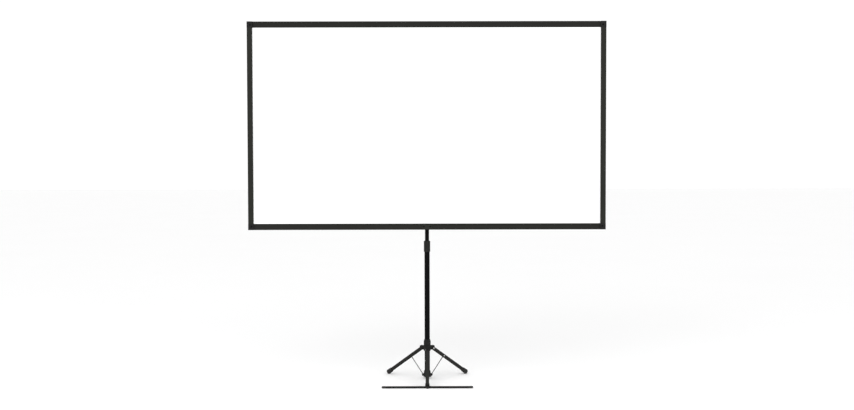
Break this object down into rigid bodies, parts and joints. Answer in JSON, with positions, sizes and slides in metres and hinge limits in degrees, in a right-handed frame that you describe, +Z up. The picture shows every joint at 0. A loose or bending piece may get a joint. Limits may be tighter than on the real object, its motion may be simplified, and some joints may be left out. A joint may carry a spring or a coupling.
{
  "type": "portable projection screen",
  "caption": "Portable projection screen: white cloth between two side casings, on elbow arms and a folding floor stand with a telescopic pole.",
  "frame": {"origin": "on the floor under the middle of the whole object's box", "axes": "+X to the viewer's right along the screen, +Y away from the viewer, +Z up"},
  "size_m": [1.826, 0.3878, 1.8315],
  "materials": {
    "black_tube": "satin powder coat",
    "leg_paint": "satin powder coat",
    "grey_plastic": "fine moulded grain",
    "black_plastic": "fine moulded grain",
    "nylon": "smooth",
    "rubber": "matte, slightly worn",
    "rod_steel": "drawn wire",
    "bright_steel": "zinc plated",
    "charcoal_aluminium": "fine anodised",
    "roller_aluminium": "mill finish",
    "white_cloth": "matte coated screen cloth",
    "black_cloth": "matte coated border"
  },
  "bodies": {
    "stand": {"lower_tube": "black_tube", "tube_end_plug": "rubber", "tube_bush": "nylon", "clamp_base": "grey_plastic", "clamp_collet": "nylon", "foot_spider": "grey_plastic", "spider_rivets": "bright_steel"},
    "clamp_ring": {"clamp_grip": "grey_plastic"},
    "hub": {"leg_hub": "grey_plastic", "hub_hinge_pins": "bright_steel"},
    "hub_knob": {"hub_lock_screw": "bright_steel", "hub_lock_knob": "black_plastic"},
    "front_leg": {"leg_front": "leg_paint", "strut_pin_front": "bright_steel", "front_fitting": "grey_plastic", "fitting_pins": "bright_steel"},
    "right_leg": {"leg_right": "leg_paint", "strut_pin_right": "bright_steel", "foot_right": "rubber"},
    "left_leg": {"leg_left": "leg_paint", "strut_pin_left": "bright_steel", "foot_left": "rubber"},
    "front_strut": {"strut_front": "rod_steel"},
    "right_strut": {"strut_right": "rod_steel"},
    "left_strut": {"strut_left": "rod_steel"},
    "right_arm": {"arm_right": "black_tube", "arm_tip_right": "rubber"},
    "left_arm": {"arm_left": "black_tube", "arm_tip_left": "rubber"},
    "pole": {"upper_tube": "black_tube", "pole_guide": "nylon"},
    "screen": {"spine": "charcoal_aluminium", "spine_cap": "black_plastic", "pole_socket": "nylon", "top_bracket": "charcoal_aluminium", "bottom_bracket": "charcoal_aluminium", "bracket_pins": "bright_steel", "cloth_clamp_plate": "charcoal_aluminium", "clamp_plate_screws": "bright_steel", "screen_cloth": "white_cloth", "border_top": "black_cloth", "border_bottom": "black_cloth"},
    "right_bar": {"casing_right": "charcoal_aluminium", "corner_caps_right": "black_plastic", "corner_pins_right": "bright_steel"},
    "left_bar": {"casing_left": "charcoal_aluminium", "corner_caps_left": "black_plastic", "corner_pins_left": "bright_steel"},
    "right_roller": {"roller_right": "roller_aluminium", "roller_wraps_right": "white_cloth"},
    "left_roller": {"roller_left": "roller_aluminium", "roller_wraps_left": "white_cloth"},
    "inner_arm_top_right": {"inner_link_top_right": "charcoal_aluminium"},
    "outer_arm_top_right": {"outer_link_top_right": "charcoal_aluminium"},
    "inner_arm_top_left": {"inner_link_top_left": "charcoal_aluminium"},
    "outer_arm_top_left": {"outer_link_top_left": "charcoal_aluminium"},
    "inner_arm_bottom_right": {"inner_link_bottom_right": "charcoal_aluminium"},
    "outer_arm_bottom_right": {"outer_link_bottom_right": "charcoal_aluminium"},
    "inner_arm_bottom_left": {"inner_link_bottom_left": "charcoal_aluminium"},
    "outer_arm_bottom_left": {"outer_link_bottom_left": "charcoal_aluminium"}
  },
  "joints": [
    {"name": "clamp_twist", "type": "hinge", "parent": "stand", "child": "clamp_ring", "pos_m": [0, 0.06438, 0.69], "axis": [0, 0, 1], "range_deg": [0, 120]},
    {"name": "hub_slide", "type": "slide", "parent": "stand", "child": "hub", "axis": [0, 0, 1], "range_m": [0, 0.05738]},
    {"name": "hub_lock_turn", "type": "hinge", "parent": "hub", "child": "hub_knob", "pos_m": [0, 0.08438, 0.18345], "axis": [0, 1, 0], "range_deg": [0, 360]},
    {"name": "leg_front_fold", "type": "hinge", "parent": "hub", "child": "front_leg", "pos_m": [0, 0.02938, 0.15345], "axis": [1, 0, 0], "range_deg": [0, 54.5]},
    {"name": "strut_front_fold", "type": "hinge", "parent": "front_leg", "child": "front_strut", "pos_m": [0, -0.03331, 0.10873], "axis": [-1, 0, 0], "range_deg": [0, 88.26]},
    {"name": "leg_right_fold", "type": "hinge", "parent": "hub", "child": "right_leg", "pos_m": [0.03031, 0.08188, 0.15345], "axis": [-0.5, 0.866, 0], "range_deg": [0, 54.5]},
    {"name": "strut_right_fold", "type": "hinge", "parent": "right_leg", "child": "right_strut", "pos_m": [0.0846, 0.11322, 0.10873], "axis": [0.5, -0.866, 0], "range_deg": [0, 88.26]},
    {"name": "leg_left_fold", "type": "hinge", "parent": "hub", "child": "left_leg", "pos_m": [-0.03031, 0.08188, 0.15345], "axis": [-0.5, -0.866, 0], "range_deg": [0, 54.5]},
    {"name": "strut_left_fold", "type": "hinge", "parent": "left_leg", "child": "left_strut", "pos_m": [-0.0846, 0.11322, 0.10873], "axis": [0.5, 0.866, 0], "range_deg": [0, 88.26]},
    {"name": "arm_right_fold", "type": "hinge", "parent": "front_leg", "child": "right_arm", "pos_m": [0.0165, -0.18016, 0.0056], "axis": [0, -0.5807, 0.8141], "range_deg": [0, 90]},
    {"name": "arm_left_fold", "type": "hinge", "parent": "front_leg", "child": "left_arm", "pos_m": [-0.0165, -0.18016, 0.0056], "axis": [0, 0.5807, -0.8141], "range_deg": [0, 90]},
    {"name": "pole_height", "type": "slide", "parent": "stand", "child": "pole", "axis": [0, 0, 1], "range_m": [-0.05, 0.5]},
    {"name": "screen_lift", "type": "slide", "parent": "pole", "child": "screen", "axis": [0, 0, 1], "range_m": [0, 0.12]},
    {"name": "screen_fold", "type": "hinge", "parent": "screen", "child": "inner_arm_top_right", "pos_m": [0.0165, 0.03838, 1.8155], "axis": [0, 1, 0], "range_deg": [0, 80], "deforming": ["screen_cloth", "border_top", "border_bottom"]},
    {"name": "elbow_top_right_fold", "type": "hinge", "parent": "inner_arm_top_right", "child": "outer_arm_top_right", "pos_m": [0.45787, 0.05138, 1.8155], "axis": [0, -1, 0], "range_deg": [0, 160]},
    {"name": "inner_bottom_right_fold", "type": "hinge", "parent": "screen", "child": "inner_arm_bottom_right", "pos_m": [0.0165, 0.03838, 0.7875], "axis": [0, -1, 0], "range_deg": [0, 80]},
    {"name": "elbow_bottom_right_fold", "type": "hinge", "parent": "inner_arm_bottom_right", "child": "outer_arm_bottom_right", "pos_m": [0.45787, 0.05138, 0.7875], "axis": [0, 1, 0], "range_deg": [0, 160]},
    {"name": "bar_right_pivot", "type": "hinge", "parent": "outer_arm_top_right", "child": "right_bar", "pos_m": [0.89925, 0.05138, 1.8155], "axis": [0, 1, 0], "range_deg": [0, 80]},
    {"name": "roller_right_turn", "type": "hinge", "parent": "right_bar", "child": "right_roller", "pos_m": [0.89925, 0.03375, 0.7875], "axis": [0, 0, 1], "range_deg": [0, 4461.2]},
    {"name": "inner_top_left_fold", "type": "hinge", "parent": "screen", "child": "inner_arm_top_left", "pos_m": [-0.0165, 0.03838, 1.8155], "axis": [0, -1, 0], "range_deg": [0, 80]},
    {"name": "elbow_top_left_fold", "type": "hinge", "parent": "inner_arm_top_left", "child": "outer_arm_top_left", "pos_m": [-0.45787, 0.05138, 1.8155], "axis": [0, 1, 0], "range_deg": [0, 160]},
    {"name": "inner_bottom_left_fold", "type": "hinge", "parent": "screen", "child": "inner_arm_bottom_left", "pos_m": [-0.0165, 0.03838, 0.7875], "axis": [0, 1, 0], "range_deg": [0, 80]},
    {"name": "elbow_bottom_left_fold", "type": "hinge", "parent": "inner_arm_bottom_left", "child": "outer_arm_bottom_left", "pos_m": [-0.45787, 0.05138, 0.7875], "axis": [0, -1, 0], "range_deg": [0, 160]},
    {"name": "bar_left_pivot", "type": "hinge", "parent": "outer_arm_top_left", "child": "left_bar", "pos_m": [-0.89925, 0.05138, 1.8155], "axis": [0, -1, 0], "range_deg": [0, 80]},
    {"name": "roller_left_turn", "type": "hinge", "parent": "left_bar", "child": "left_roller", "pos_m": [-0.89925, 0.03375, 0.7875], "axis": [0, 0, -1], "range_deg": [0, 4461.2]}
  ],
  "couplings": [
    {"joint": "leg_front_fold", "follows": "hub_slide", "rad_per_m": 16.577},
    {"joint": "strut_front_fold", "follows": "hub_slide", "rad_per_m": 26.847},
    {"joint": "leg_right_fold", "follows": "hub_slide", "rad_per_m": 16.577},
    {"joint": "strut_right_fold", "follows": "hub_slide", "rad_per_m": 26.847},
    {"joint": "leg_left_fold", "follows": "hub_slide", "rad_per_m": 16.577},
    {"joint": "strut_left_fold", "follows": "hub_slide", "rad_per_m": 26.847},
    {"joint": "elbow_top_right_fold", "follows": "screen_fold", "ratio": 2},
    {"joint": "inner_bottom_right_fold", "follows": "screen_fold", "ratio": 1},
    {"joint": "elbow_bottom_right_fold", "follows": "screen_fold", "ratio": 2},
    {"joint": "bar_right_pivot", "follows": "screen_fold", "ratio": 1},
    {"joint": "roller_right_turn", "follows": "screen_fold", "ratio": 55.764},
    {"joint": "inner_top_left_fold", "follows": "screen_fold", "ratio": 1},
    {"joint": "elbow_top_left_fold", "follows": "screen_fold", "ratio": 2},
    {"joint": "inner_bottom_left_fold", "follows": "screen_fold", "ratio": 1},
    {"joint": "elbow_bottom_left_fold", "follows": "screen_fold", "ratio": 2},
    {"joint": "bar_left_pivot", "follows": "screen_fold", "ratio": 1},
    {"joint": "roller_left_turn", "follows": "screen_fold", "ratio": 55.764}
  ]
}
